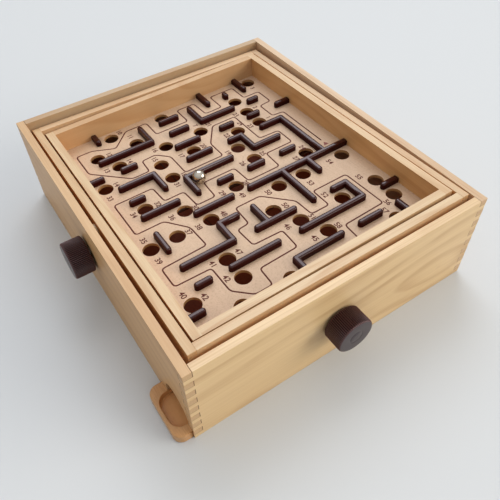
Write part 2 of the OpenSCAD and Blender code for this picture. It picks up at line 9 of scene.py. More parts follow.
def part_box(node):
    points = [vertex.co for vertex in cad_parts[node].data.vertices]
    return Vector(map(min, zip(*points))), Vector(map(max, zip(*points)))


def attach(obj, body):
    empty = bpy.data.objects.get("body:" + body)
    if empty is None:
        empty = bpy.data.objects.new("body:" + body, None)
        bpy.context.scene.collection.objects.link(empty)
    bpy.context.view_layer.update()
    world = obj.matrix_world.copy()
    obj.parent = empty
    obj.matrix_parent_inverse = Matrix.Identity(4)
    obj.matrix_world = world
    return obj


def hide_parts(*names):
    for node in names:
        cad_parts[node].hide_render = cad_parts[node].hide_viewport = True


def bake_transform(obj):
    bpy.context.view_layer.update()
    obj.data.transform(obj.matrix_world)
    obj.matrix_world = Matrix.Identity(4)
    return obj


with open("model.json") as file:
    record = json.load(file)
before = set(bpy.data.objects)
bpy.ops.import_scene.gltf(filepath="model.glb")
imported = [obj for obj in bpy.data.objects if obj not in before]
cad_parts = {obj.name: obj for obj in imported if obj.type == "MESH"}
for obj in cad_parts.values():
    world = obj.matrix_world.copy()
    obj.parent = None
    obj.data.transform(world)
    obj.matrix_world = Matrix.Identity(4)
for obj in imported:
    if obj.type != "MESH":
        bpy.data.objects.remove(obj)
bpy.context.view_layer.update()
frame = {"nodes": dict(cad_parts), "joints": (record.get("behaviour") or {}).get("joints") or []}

MM = 0.001

# View: a hand-held camera above the front left corner of the box, looking down across the board.
# The picture is square, and its middle lies a little off the lens's own middle.
FRAME_PX = 500
LENS_PX = 546.4
LENS_MIDDLE_PX = (243.0, 240.8)
SENSOR_MM = 36
CAMERA_AT_MM = (-186.95, -320.07, 407.18)
CAMERA_TURN_DEG = (42.09, 1.42, -33.575)
lens = bpy.data.cameras.new("camera")
lens.sensor_width = SENSOR_MM
lens.lens = LENS_PX * SENSOR_MM / FRAME_PX
lens.shift_x = 0.5 - LENS_MIDDLE_PX[0] / FRAME_PX
lens.shift_y = LENS_MIDDLE_PX[1] / FRAME_PX - 0.5
camera = bpy.data.objects.new("camera", lens)
camera.location = Vector(CAMERA_AT_MM) * MM
camera.rotation_euler = [math.radians(angle) for angle in CAMERA_TURN_DEG]
bpy.context.scene.collection.objects.link(camera)
bpy.context.scene.camera = camera

# Box walls: four pine boards, flat-sawn, finger-jointed and glued at the corners, then sanded
# and lacquered. The grain runs along each board, and the fingers show its end grain.
SANDED = 0.45 * MM
SANDED_STEPS = 2
MERGED = 0.005 * MM
FLAT_DEG = 1
EDGE_DEG = 30
SHARP_DEG = 50
WALL_RING_MM = 17
WALL_LATE_WOOD = "#b08354"
WALL_END_GRAIN = "#d0ae84"
WALL_GLUE = 0.85
# Inputs and output of a Mix node of colours, whose names repeat
SHARE, FIRST, SECOND, MIXED = 0, 6, 7, 2


def linear(colour):
    """Linear RGBA of an sRGB hex colour."""
    parts = [int(colour[i:i + 2], 16) / 255 for i in (1, 3, 5)]
    return [c / 12.92 if c <= 0.04045 else ((c + 0.055) / 1.055) ** 2.4 for c in parts] + [1]


def add(tree, kind, inputs=None, **settings):
    """Adds a shader node with its settings, and sets or links its inputs by name or number."""
    node = tree.nodes.new("ShaderNode" + kind)
    for key, value in settings.items():
        setattr(node, key, value)
    for key, value in (inputs or {}).items():
        if isinstance(value, bpy.types.NodeSocket):
            tree.links.new(value, node.inputs[key])
        else:
            node.inputs[key].default_value = value
    return node


def start_material(name):
    """A new material, with its tree and its shader."""
    material = bpy.data.materials.new(name)
    material.use_nodes = True
    tree = material.node_tree
    shader = tree.nodes["Principled BSDF"]
    return material, tree, shader


def lacquered_pine(name, along, heart, ring_mm, pale, late_wood, end_grain, tint):
    """Flat-sawn pine under a thin satin lacquer. The year rings arch round the heart of the log and
    run out along the board, and each darkens slowly and ends sharply. Long fibres give fine streaks,
    a cut end shows short pores, and glue darkens the seams of the finger joints. Upright faces are
    multiplied by a tint, a painted shade that makes them darker and warmer, and are planed smoother.
    Fibres and pores are drawn coarser than real ones, so that they show."""
    arch_mm = 70
    taper = 2.2
    wander_mm = (170, 34)
    wander_years = 1.6
    fray_years = 0.12
    year_darkens = 0.3
    year_darkest = 0.86
    ring_strength = (0.08, 0.38)
    streak_mm = (260, 9)
    streak_strength = 0.16
    fibre_mm = (60, 1.1)
    fibre_strength = 0.26
    fibre_relief = 0.1 * MM
    planed_share = 0.5
    blotch_mm = 70
    pore_mm = 0.7
    pore_strength = 0.5
    glue_colour = "#6f4a2a"
    across = "Y" if along == "X" else "X"
    material, tree, shader = start_material(name)
    place = add(tree, "TexCoord")

    def streaky(sizes, detail):
        """Noise of given sizes along and across the grain."""
        long, wide = (1 / (size * MM) for size in sizes)
        scale = (long, wide, wide) if along == "X" else (wide, long, wide)
        run = add(tree, "Mapping", {"Vector": place.outputs["Object"], "Scale": scale,
                                    "Location": [h / ring_mm for h in heart]})
        grain = add(tree, "TexNoise", {"Vector": run.outputs[0], "Scale": 1, "Detail": detail})
        return grain.outputs["Fac"]

    # Year rings round the heart
    offset = add(tree, "VectorMath", {0: place.outputs["Object"], 1: [h * MM for h in heart]},
                 operation="SUBTRACT")
    apart = add(tree, "SeparateXYZ", {0: offset.outputs[0]})
    far = add(tree, "Math", {0: apart.outputs[along], 1: arch_mm * MM}, operation="DIVIDE")
    arch = add(tree, "Math", {0: far.outputs[0]}, operation="ARCTANGENT")
    reach = add(tree, "Math", {0: arch.outputs[0], 1: arch_mm * MM / taper}, operation="MULTIPLY")
    log = add(tree, "CombineXYZ", {0: reach.outputs[0], 1: apart.outputs[across],
                                   2: apart.outputs["Z"]})
    radius = add(tree, "VectorMath", {0: log.outputs[0]}, operation="LENGTH")
    years = add(tree, "Math", {0: radius.outputs["Value"], 1: ring_mm * MM}, operation="DIVIDE")
    fibres = streaky(fibre_mm, 3)
    wander = add(tree, "Math", {0: streaky(wander_mm, 1), 1: wander_years, 2: years.outputs[0]},
                 operation="MULTIPLY_ADD")
    frayed = add(tree, "Math", {0: fibres, 1: fray_years, 2: wander.outputs[0]},
                 operation="MULTIPLY_ADD")
    season = add(tree, "Math", {0: frayed.outputs[0]}, operation="FRACT")
    darkens = add(tree, "MapRange", {"Value": season.outputs[0], "From Min": year_darkens,
                                     "From Max": year_darkest, "To Min": 0, "To Max": 1},
                  interpolation_type="SMOOTHSTEP")
    winter = add(tree, "MapRange", {"Value": season.outputs[0], "From Min": year_darkest,
                                    "From Max": 1, "To Min": 1, "To Max": 0})
    dark_part = add(tree, "Math", {0: darkens.outputs[0], 1: winter.outputs[0]},
                    operation="MULTIPLY")
    blotch = add(tree, "TexNoise", {"Vector": place.outputs["Object"],
                                    "Scale": 1 / (blotch_mm * MM), "Detail": 2})
    strength = add(tree, "MapRange", {"Value": blotch.outputs["Fac"], "From Min": 0.35,
                                      "From Max": 0.65, "To Min": ring_strength[0],
                                      "To Max": ring_strength[1]})
    arches = add(tree, "Math", {0: dark_part.outputs[0], 1: strength.outputs[0]},
                 operation="MULTIPLY")

    # Streaks and fibres, fainter on the upright faces
    facing = add(tree, "SeparateXYZ", {0: place.outputs["Normal"]})
    level = add(tree, "Math", {0: facing.outputs["Z"]}, operation="ABSOLUTE")
    upright = add(tree, "MapRange", {"Value": level.outputs[0], "From Min": 0.8, "From Max": 0.4})
    streaks = add(tree, "MapRange", {"Value": streaky(streak_mm, 2), "From Min": 0.3,
                                     "From Max": 0.7, "To Min": 0, "To Max": streak_strength})
    lines = add(tree, "MapRange", {"Value": fibres, "From Min": 0.38, "From Max": 0.7,
                                   "To Min": 0, "To Max": fibre_strength})
    along_grain = add(tree, "Math", {0: streaks.outputs[0], 1: lines.outputs[0]}, operation="ADD")
    planed = add(tree, "MapRange", {"Value": upright.outputs[0], "To Min": 1,
                                    "To Max": planed_share})
    fine = add(tree, "Math", {0: along_grain.outputs[0], 1: planed.outputs[0],
                              2: arches.outputs[0]}, operation="MULTIPLY_ADD")
    sawn = add(tree, "Mix", {SHARE: fine.outputs[0], FIRST: linear(pale),
                             SECOND: linear(late_wood)}, data_type="RGBA")
    # Painted shade: the upright faces are multiplied by the tint, which makes them darker and warmer
    face = add(tree, "Mix", {SHARE: upright.outputs[0], FIRST: sawn.outputs[MIXED],
                             SECOND: linear(tint)}, data_type="RGBA", blend_type="MULTIPLY")

    # Cut ends and glue seams
    pores = add(tree, "TexNoise", {"Vector": place.outputs["Object"], "Scale": 1 / (pore_mm * MM),
                                   "Detail": 2})
    pitted = add(tree, "MapRange", {"Value": pores.outputs["Fac"], "From Min": 0.4, "From Max": 0.7,
                                    "To Min": 0, "To Max": pore_strength})
    cut_end = add(tree, "Mix", {SHARE: pitted.outputs[0], FIRST: linear(end_grain),
                                SECOND: linear(late_wood)}, data_type="RGBA")
    cut = add(tree, "Math", {0: facing.outputs[along]}, operation="ABSOLUTE")
    is_end = add(tree, "MapRange", {"Value": cut.outputs[0], "From Min": 0.75, "From Max": 0.95})
    wood = add(tree, "Mix", {SHARE: is_end.outputs[0], FIRST: face.outputs[MIXED],
                             SECOND: cut_end.outputs[MIXED]}, data_type="RGBA")
    seam = add(tree, "Attribute", attribute_name="seam")
    glued = add(tree, "Mix", {SHARE: seam.outputs["Fac"], FIRST: wood.outputs[MIXED],
                              SECOND: linear(glue_colour)}, data_type="RGBA")
    tree.links.new(glued.outputs[MIXED], shader.inputs["Base Color"])
    grain = add(tree, "Bump", {"Height": fibres, "Strength": 0.15, "Distance": fibre_relief})
    tree.links.new(grain.outputs[0], shader.inputs["Normal"])
    shader.inputs["Roughness"].default_value = 0.45
    shader.inputs["Coat Weight"].default_value = 0.1
    shader.inputs["Coat Roughness"].default_value = 0.3
    return material


def new_piece(name, bm, material, body, slot, *nodes):
    """Makes an object of a bmesh, rides it on its body if it has one, and lets it stand for CAD
    nodes."""
    mesh = bpy.data.meshes.new(name)
    bm.to_mesh(mesh)
    bm.free()
    mesh.materials.append(material)
    piece = bpy.data.objects.new(name, mesh)
    bpy.context.scene.collection.objects.link(piece)
    if body:
        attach(piece, body)
    if nodes:
        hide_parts(*nodes)
    return piece


def shade_evenly(piece):
    """Keeps each broad face flat, blends only the rounded edges and leaves sharp ones sharp."""
    piece.data.shade_smooth()
    piece.data.set_sharp_from_angle(angle=math.radians(SHARP_DEG))
    even = piece.modifiers.new("even_faces", "WEIGHTED_NORMAL")
    even.weight = 100
    even.keep_sharp = True


def merged_copy(node, whole_faces=True):
    """A bmesh of a CAD node with its triangles merged, and joined into whole faces or left so."""
    bm = bmesh.new()
    bm.from_mesh(frame["nodes"][node].data)
    bmesh.ops.remove_doubles(bm, verts=bm.verts, dist=MERGED)
    if whole_faces:
        bmesh.ops.dissolve_limit(bm, angle_limit=math.radians(FLAT_DEG), verts=bm.verts,
                                 edges=bm.edges)
    return bm


def ease_edges(bm, width, segments, chosen=None):
    """Rounds the sharp edges of a bmesh, all of them or those that a test chooses, and gives the
    new faces."""
    sharp = [e for e in bm.edges if e.is_manifold and e.calc_face_angle() > math.radians(EDGE_DEG)]
    if chosen:
        sharp = [e for e in sharp if chosen(e)]
    rounded = bmesh.ops.bevel(bm, geom=sharp, offset=width, offset_type="OFFSET", segments=segments,
                              profile=0.5, affect="EDGES", material=-1, clamp_overlap=True)
    return rounded["faces"]


def finger_jointed(node, along, width, glue):
    """A copy of a finger-jointed board with rounded edges. Those among its fingers, which are as
    long as the board is thick, are marked as glue seams, most of all where the fingers end. The
    share of glue says how dark they are."""
    bm = merged_copy(node)
    seam = bm.faces.layers.float.new("seam")
    low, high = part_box(node)
    axis = "XY".index(along)
    thick = min(high - low)
    for face in ease_edges(bm, width, SANDED_STEPS):
        middle = face.calc_center_median()[axis]
        inward = min(middle - low[axis], high[axis] - middle)
        at_end = abs(inward - thick) < MM
        face[seam] = glue if at_end else glue / 2 if MM < inward < thick else 0
    return bm


# Way of the grain, heart of the log in millimetres, colour and tint of each wall. Each colour is
# partly the board's own tone and partly painted shade, darkest on the back wall, for the light that
# falls off towards the back. The tint is a painted shade on the upright faces
walls = {
    "front_wall": ("X", (118, -156, 30), "#e5cba4", "#fffaec"),
    "back_wall": ("X", (-60, 175, -40), "#bea788", "#ffffff"),
    "left_wall": ("Y", (-150, -60, -25), "#d2b187", "#fff4e2"),
    "right_wall": ("Y", (150, 70, 130), "#d8bfa0", "#ffffff")}
for node, (along, heart, pale, tint) in walls.items():
    wall_pine = lacquered_pine("lacquered_pine_" + node, along, heart, WALL_RING_MM, pale,
                               WALL_LATE_WOOD, WALL_END_GRAIN, tint)
    bm = finger_jointed(node, along, SANDED, WALL_GLUE)
    shade_evenly(new_piece(node + "_board", bm, wall_pine, "box", "pine_wall", node))

# Sloped deck: a panel of brown hardboard on two pine cleats, under the board, which carries a
# dropped ball down to the front left corner. It shows as the dark floor under the holes.
FIBRE_MM = 1.6
CLEAT_HEART_MM = (20, 0, -30)
CLEAT_RING_MM = 8
# Pressed hardboard: dark red-brown, with short matted fibres and little gloss
pressed_fibre, tree, shader = start_material("pressed_hardboard")
place = add(tree, "TexCoord")
flecks = add(tree, "TexNoise", {"Vector": place.outputs["Object"], "Scale": 1 / (FIBRE_MM * MM),
                                "Detail": 4, "Roughness": 0.7})
matted = add(tree, "Mix", {SHARE: flecks.outputs["Fac"], FIRST: linear("#6c2b13"),
                           SECOND: linear("#8e441f")}, data_type="RGBA")
tree.links.new(matted.outputs[MIXED], shader.inputs["Base Color"])
shader.inputs["Roughness"].default_value = 0.5
shader.inputs["Specular IOR Level"].default_value = 0.25
cleat_pine = lacquered_pine("sawn_pine_cleats", "Y", CLEAT_HEART_MM, CLEAT_RING_MM, "#dcc09a",
                            "#b4875a", "#b89569", "#ffffff")
for node, panel, material, slot in (("sloped_deck", "sloped_deck_panel", pressed_fibre, "hardboard"),
                                    ("deck_cleats", "deck_cleat_strips", cleat_pine, "pine_wall")):
    bm = merged_copy(node)
    ease_edges(bm, SANDED, SANDED_STEPS)
    shade_evenly(new_piece(panel, bm, material, "box", slot, node))

# Ball tray: a small beech block with a routed recess, glued to the left wall at the front corner.
# Its edges are rounded by a cutter, and an arch in the wall lets the ball roll out into it.
RAY_MM = (7, 0.9)
TRAY_ROUNDED = 0.8 * MM
TRAY_STEPS = 3
TRAY_RIM = 0.5 * MM
GLUE_LINE = 0.1 * MM
RECESS_BOUNCE_LIGHT = 0.6
# Oiled beech: warm brown with short dark rays. The recess is painted paler and redder, a painted
# warm bounce light inside it
beech, tree, shader = start_material("oiled_beech")
place = add(tree, "TexCoord")
run = add(tree, "Mapping", {"Vector": place.outputs["Object"],
                            "Scale": [1 / (s * MM) for s in (RAY_MM[1], RAY_MM[0], RAY_MM[1])]})
rays = add(tree, "TexNoise", {"Vector": run.outputs[0], "Scale": 1, "Detail": 3, "Roughness": 0.65})
warm = add(tree, "Mix", {SHARE: rays.outputs["Fac"], FIRST: linear("#d9ae7c"),
                         SECOND: linear("#b17c48")}, data_type="RGBA")
# Painted light: the recess is mixed towards a paler, redder colour, for warm light bounced inside it
routed = add(tree, "Attribute", attribute_name="recess")
wear_and_bounce_light = add(tree, "Math", {0: routed.outputs["Fac"], 1: RECESS_BOUNCE_LIGHT}, operation="MULTIPLY")
recess_bounce_lit = add(tree, "Mix", {SHARE: wear_and_bounce_light.outputs[0], FIRST: warm.outputs[MIXED],
                           SECOND: linear("#e2a566")}, data_type="RGBA")
tree.links.new(recess_bounce_lit.outputs[MIXED], shader.inputs["Base Color"])
pores = add(tree, "Bump", {"Height": rays.outputs["Fac"], "Strength": 0.1, "Distance": 0.1 * MM})
tree.links.new(pores.outputs[0], shader.inputs["Normal"])
shader.inputs["Roughness"].default_value = 0.38
bm = merged_copy("ball_tray")
low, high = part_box("ball_tray")
recess = bm.faces.layers.float.new("recess")
for face in bm.faces:
    middle = face.calc_center_median()
    is_low = middle.z < high.z - TRAY_RIM
    face[recess] = 1 if is_low and face.normal.dot((low + high) / 2 - middle) > 0 else 0
off_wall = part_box("left_wall")[0].x - GLUE_LINE
ease_edges(bm, TRAY_ROUNDED, TRAY_STEPS, lambda edge: min(v.co.x for v in edge.verts) < off_wall)
shade_evenly(new_piece("ball_tray_block", bm, beech, "box", "beech", "ball_tray"))

# Pivot pins: short steel pins in the walls and in the outer rails, which the frames turn on,
# each with a pale moulded spacer that keeps the frame off the wall beside it.
SCRATCH_MM = 0.4
MILKY_MM = 3
SPACER_EASED = 0.3 * MM


def dress(material, *nodes):
    """Gives a material to CAD nodes whose shape stays as it is."""
    for node in nodes:
        slots = frame["nodes"][node].data.materials
        slots.clear()
        slots.append(material)


# Drawn steel: bright grey, with fine scratches that dull it in places
drawn_steel, tree, shader = start_material("drawn_steel")
place = add(tree, "TexCoord")
scratches = add(tree, "TexNoise", {"Vector": place.outputs["Object"], "Scale": 1 / (SCRATCH_MM * MM),
                                   "Detail": 2})
dull = add(tree, "MapRange", {"Value": scratches.outputs["Fac"], "To Min": 0.22, "To Max": 0.42})
tree.links.new(dull.outputs[0], shader.inputs["Roughness"])
shader.inputs["Base Color"].default_value = linear("#b9bbbe")
shader.inputs["Metallic"].default_value = 1
# Natural nylon: milky cream, and light passes a little way into it
nylon, tree, shader = start_material("natural_nylon")
place = add(tree, "TexCoord")
milky = add(tree, "TexNoise", {"Vector": place.outputs["Object"], "Scale": 1 / (MILKY_MM * MM)})
cream = add(tree, "Mix", {SHARE: milky.outputs["Fac"], FIRST: linear("#ecdcbd"),
                          SECOND: linear("#dcc59c")}, data_type="RGBA")
tree.links.new(cream.outputs[MIXED], shader.inputs["Base Color"])
shader.inputs["Roughness"].default_value = 0.45
shader.inputs["Subsurface Weight"].default_value = 0.1
dress(drawn_steel, "outer_pivot_pins", "inner_pivot_pins")
for node, body in (("outer_pivot_spacers", "box"), ("inner_pivot_spacers", "outer_frame")):
    bm = merged_copy(node)
    ease_edges(bm, SPACER_EASED, SANDED_STEPS)
    shade_evenly(new_piece(node + "_moulded", bm, nylon, body, "natural_nylon", node))

# Frames: eight pine rails, finger-jointed into an outer and an inner frame. Their top edges are
# rounded a little by sanding, and the board is let into the inner ones from below.
RAIL_EASED = 0.6 * MM
RAIL_RING_MM = 9
RAIL_LATE_WOOD = "#b98c5e"
RAIL_END_GRAIN = "#cfab80"
# Painted shade on the upright faces of the rails, darker and warmer on the rails that run front to
# back
RAIL_UPRIGHT_SHADE = {"X": "#fff6ec", "Y": "#ffe3c0"}
RAIL_GLUE = 0.3
# Way of the grain, heart of the log in millimetres and colour of each rail. Each colour is partly
# the rail's own tone and partly painted shade: the back rails and the outer side rails are painted
# darker, for the light that falls off towards the back and the sides
rails = {
    "outer_front_rail": ("X", (30, -190, 60), "#dcc5a2"),
    "outer_back_rail": ("X", (-150, 190, 40), "#dabe9b"),
    "outer_left_rail": ("Y", (-170, 20, 70), "#d0b48c"),
    "outer_right_rail": ("Y", (175, -140, 50), "#d5ba97"),
    "inner_front_rail": ("X", (-90, -175, 110), "#dcc5a1"),
    "inner_back_rail": ("X", (70, 150, 95), "#d0b088"),
    "inner_left_rail": ("Y", (-160, -60, 115), "#dac39d"),
    "inner_right_rail": ("Y", (160, 60, 45), "#dcc39e")}
for node, (along, heart, pale) in rails.items():
    frame_name = node.split("_")[0] + "_frame"
    rail_pine = lacquered_pine("lacquered_pine_" + node, along, heart, RAIL_RING_MM, pale,
                               RAIL_LATE_WOOD, RAIL_END_GRAIN, RAIL_UPRIGHT_SHADE[along])
    bm = finger_jointed(node, along, RAIL_EASED, RAIL_GLUE)
    shade_evenly(new_piece(node + "_board", bm, rail_pine, frame_name, "pine_rail", node))

# Maze board: thin birch ply with drilled holes, let into the inner frame and pinned with brads.
# Its face is printed and matt, faintly pink and mottled, and the holes show the browner ply.
BOARD_BELOW_PIVOT = 11.1 * MM
BOARD_EASED = 0.2 * MM
MOTTLE_MM = (25, 2.2)
SPECK_MM = 1.4
SPECK_STRENGTH = 0.32
joints = {joint["name"]: joint for joint in frame["joints"]}
board_x = Vector(joints["ball_roll"]["axis"]).normalized()
board_y = Vector(joints["inner_tilt"]["axis"]).normalized()
board_z = board_x.cross(board_y)
board_place = Matrix((board_x, board_y, board_z)).transposed().to_4x4()
board_place.translation = Vector(joints["inner_tilt"]["pos_m"]) - board_z * BOARD_BELOW_PIVOT
# Printed birch ply: a pale ground with faint long mottling and small dark specks
birch, tree, shader = start_material("printed_birch_ply")
place = add(tree, "TexCoord")
run = add(tree, "Mapping", {"Vector": place.outputs["Object"], "Scale": [
    1 / (s * MM) for s in (MOTTLE_MM[1], MOTTLE_MM[0], MOTTLE_MM[1])]})
mottle = add(tree, "TexNoise", {"Vector": run.outputs[0], "Scale": 1, "Detail": 4, "Roughness": 0.6})
veneer = add(tree, "Mix", {SHARE: mottle.outputs["Fac"], FIRST: linear("#d8bca0"),
                           SECOND: linear("#c8ab8e")}, data_type="RGBA")
specks = add(tree, "TexNoise", {"Vector": place.outputs["Object"], "Scale": 1 / (SPECK_MM * MM),
                                "Detail": 1})
speckled = add(tree, "MapRange", {"Value": specks.outputs["Fac"], "From Min": 0.5, "From Max": 0.75,
                                  "To Min": 0, "To Max": SPECK_STRENGTH})
face = add(tree, "Mix", {SHARE: speckled.outputs[0], FIRST: veneer.outputs[MIXED],
                         SECOND: linear("#a98a70")}, data_type="RGBA")
facing = add(tree, "SeparateXYZ", {0: place.outputs["Normal"]})
up = add(tree, "Math", {0: facing.outputs["Z"]}, operation="ABSOLUTE")
is_face = add(tree, "MapRange", {"Value": up.outputs[0], "From Min": 0.6, "From Max": 0.9})
drilled = add(tree, "Mix", {SHARE: is_face.outputs[0], FIRST: linear("#bf9261"),
                            SECOND: face.outputs[MIXED]}, data_type="RGBA")
tree.links.new(drilled.outputs[MIXED], shader.inputs["Base Color"])
shader.inputs["Roughness"].default_value = 0.55
bm = merged_copy("maze_board")
ease_edges(bm, BOARD_EASED, 1)
shade_evenly(new_piece("maze_board_panel", bm, birch, "inner_frame", "printed_board", "maze_board"))
dress(drawn_steel, "board_brads")

# Route: one thin brown line printed on the board from the start arrow to the goal, with rounded
# corners. It stands here as a film of ink a tenth of a millimetre thick.
INK_HEIGHT = 0.1 * MM
INK_MERGED = 0.001 * MM
BLEED_MM = 0.8
LINE_WIDTH = 1.35 * MM
CORNER = 3.2 * MM
CORNER_STEPS = (0, 0.25, 0.5, 0.75, 1)
route = [(101, -5), (101, 58), (88, 59), (88, 82), (102, 83), (102, 106), (83, 106), (83, 130),
         (54, 130), (54, 106), (34, 106), (33, 130), (12, 130), (12, 106), (-25, 106), (-25, 130),
         (-49, 130), (-69, 110), (-91, 121), (-107, 121), (-107, 89), (-76, 57), (-58, 57),
         (-57, 75), (-42, 76), (-31, 64), (-31, 34.5), (11, 34.5), (11, 57.5), (28, 82), (55, 82),
         (55, 35), (77, 34), (77, 11), (46, 11), (45, -12), (10, -12), (9, 11), (-25, 11),
         (-26, -11.5), (-45, -11.5), (-46, 11), (-66, 11), (-67, 33), (-106, 33), (-106, -12),
         (-79, -12), (-64, -32), (-63, -58), (-106, -59), (-106, -81), (-73, -82), (-73, -110),
         (-59, -124), (-43, -124), (-42, -105), (-4, -104), (-3, -82), (-32, -81), (-33, -59),
         (-21, -58), (-20, -35.5), (6, -35.5), (28, -60), (29, -81), (48, -81), (48, -59),
         (86, -59), (87, -107), (43, -108), (42, -124), (42, -137)]


def printed_ink(name, dark, light, rough, gloss):
    """Screen-printed ink, which lies a little unevenly on the wood."""
    material, tree, shader = start_material(name)
    place = add(tree, "TexCoord")
    bleed = add(tree, "TexNoise", {"Vector": place.outputs["Object"], "Scale": 1 / (BLEED_MM * MM)})
    inked = add(tree, "Mix", {SHARE: bleed.outputs["Fac"], FIRST: linear(dark),
                              SECOND: linear(light)}, data_type="RGBA")
    tree.links.new(inked.outputs[MIXED], shader.inputs["Base Color"])
    shader.inputs["Roughness"].default_value = rough
    shader.inputs["Specular IOR Level"].default_value = gloss
    return material


brown_ink = printed_ink("brown_ink", "#5a2c24", "#6e3f35", 0.6, 0.2)
corners = [Vector((x, y, 0)) * MM for x, y in route]
points = [corners[0]]
for before, corner, after in zip(corners, corners[1:], corners[2:]):
    reach = min(CORNER, (before - corner).length / 2, (after - corner).length / 2)
    leave = corner + (before - corner).normalized() * reach
    join = corner + (after - corner).normalized() * reach
    points += [leave.lerp(corner, t).lerp(corner.lerp(join, t), t) for t in CORNER_STEPS]
points.append(corners[-1])
line = bpy.data.curves.new("route_line", "CURVE")
line.dimensions = "3D"
line.bevel_depth = LINE_WIDTH / 2
line.bevel_resolution = 1
line.use_fill_caps = True
spline = line.splines.new("POLY")
spline.points.add(len(points) - 1)
for target, point in zip(spline.points, points):
    target.co = (*point, 1)
drawn = bpy.data.objects.new("route_curve", line)
bm = bmesh.new()
bm.from_mesh(bpy.data.meshes.new_from_object(drawn))
bpy.data.objects.remove(drawn)
bmesh.ops.remove_doubles(bm, verts=bm.verts, dist=INK_MERGED)
bmesh.ops.scale(bm, verts=bm.verts, vec=(1, 1, 2 * INK_HEIGHT / LINE_WIDTH))
bmesh.ops.transform(bm, matrix=board_place, verts=bm.verts)
new_piece("route_line", bm, brown_ink, "inner_frame", "printed_board")

# Numbers and start arrow: small plain figures beside the holes count the route, printed to be
# read from the left side of the box, and a red-brown arrow marks where the ball starts.
FIGURE_SIZE = 7 * MM
FIGURE_BOLDER = 0.1 * MM
FIGURE_TURN = Matrix.Rotation(-math.pi / 2, 4, "Z")
ARROW_AT = Vector((101, -12, 0)) * MM
ARROW_RADIUS = 3.2 * MM
numbers = {
    (82, 59): 1, (82, 83): 2, (101, 116): 3, (14, 94): 7, (-55, 133): 10, (-49, 119): 11,
    (-79, 105): 12, (-91, 83): 13, (-67, 83): 14, (-92, 59): 14, (-46, 70): 15, (-39, 83): 16,
    (-22, 59): 17, (-34, 33): 18, (17, 35): 19, (3, 59): 20, (26, 87): 21, (31, 59): 22,
    (58, 84): 23, (59, 58): 23, (53, 68): 24, (79, -3): 24, (43, 13): 25, (19, 12): 26,
    (64, -13): 27, (6, -13): 28, (-19, -12): 29, (-48, -13): 30, (-46, 23): 31, (-73, 11): 32,
    (-105, 44): 33, (-97, 11): 34, (-104, -22): 35, (-71, -12): 36, (-68, -36): 37, (-58, -36): 38,
    (-104, -50): 39, (-105, -92): 40, (-70, -79): 41, (-92, -103): 42, (-69, -98): 42,
    (13, -105): 45, (3, -81): 46, (-46, -80): 47, (-32, -35): 48, (-6, -25): 49, (15, -36): 50,
    (17, -59): 50, (27, -84): 51, (53, -69): 52, (53, -49): 53, (86, -36): 54, (93, -69): 55,
    (90, -109): 56, (81, -115): 57, (38, -105): 58}
bm = bmesh.new()
for (x, y), number in numbers.items():
    figure = bpy.data.curves.new("figure", "FONT")
    figure.body = str(number)
    figure.size = FIGURE_SIZE
    figure.align_x = "CENTER"
    figure.align_y = "CENTER"
    figure.extrude = INK_HEIGHT
    figure.offset = FIGURE_BOLDER
    written = bpy.data.objects.new("figure", figure)
    mesh = bpy.data.meshes.new_from_object(written)
    mesh.transform(board_place @ Matrix.Translation((x * MM, y * MM, 0)) @ FIGURE_TURN)
    bm.from_mesh(mesh)
    bpy.data.objects.remove(written)
bmesh.ops.remove_doubles(bm, verts=bm.verts, dist=INK_MERGED)
new_piece("hole_numbers", bm, brown_ink, "inner_frame", "printed_board")
red_ink = printed_ink("red_brown_ink", "#7c3a30", "#94534a", 0.5, 0.5)
bm = bmesh.new()
bmesh.ops.create_cone(bm, cap_ends=True, segments=3, radius1=ARROW_RADIUS, radius2=ARROW_RADIUS,
                      depth=2 * INK_HEIGHT, matrix=board_place @ Matrix.Translation(ARROW_AT))
new_piece("start_arrow", bm, red_ink, "inner_frame", "printed_board")

# Maze strips: dark brown moulded plastic fences, glued down by their flat undersides. Their tops
# are well rounded and polished by hands and the ball, while the sides stay as dull as the mould.
STRIP_HEIGHT = 6 * MM
STRIP_ROUNDED = 2.0 * MM
STRIP_STEPS = 5
POLISHED_SLOPE = 0.25
FLOW_MM = 14
to_board = board_place.inverted()


def moulded_brown(name, gloss, rough):
    """Dark brown ABS with faint flow marks, of a given gloss and a range of roughness."""
    material, tree, shader = start_material(name)
    place = add(tree, "TexCoord")
    flow = add(tree, "TexNoise", {"Vector": place.outputs["Object"], "Scale": 1 / (FLOW_MM * MM),
                                  "Detail": 3})
    brown = add(tree, "Mix", {SHARE: flow.outputs["Fac"], FIRST: linear("#320c07"),
                              SECOND: linear("#42140d")}, data_type="RGBA")
    tree.links.new(brown.outputs[MIXED], shader.inputs["Base Color"])
    wear_and_bounce_light = add(tree, "MapRange", {"Value": flow.outputs["Fac"], "To Min": rough[0],
                                  "To Max": rough[1]})
    tree.links.new(wear_and_bounce_light.outputs[0], shader.inputs["Roughness"])
    shader.inputs["Specular IOR Level"].default_value = gloss
    return material


def along_the_top(edge):
    """Whether an edge lies along the top of a strip."""
    return min((to_board @ v.co).z for v in edge.verts) > STRIP_HEIGHT / 2


polished_brown = moulded_brown("polished_brown_abs", 0.5, (0.08, 0.14))
dull_brown = moulded_brown("dull_brown_abs", 0.06, (0.3, 0.45))
for node in ("straight_strips", "angled_strips"):
    bm = merged_copy(node)
    ease_edges(bm, STRIP_ROUNDED, STRIP_STEPS, along_the_top)
    bm.normal_update()
    for face in bm.faces:
        face.material_index = 0 if face.normal.dot(board_z) > POLISHED_SLOPE else 1
    strips = new_piece(node + "_moulded", bm, polished_brown, "inner_frame", "strip_plastic", node)
    strips.data.materials.append(dull_brown)
    shade_evenly(strips)

# Steel ball: a hardened bearing ball, polished to a mirror, which rolls on the board.
# It lies in the corner of two strips, where the tilt of the board holds it.
FINGER_MARK_MM = 4
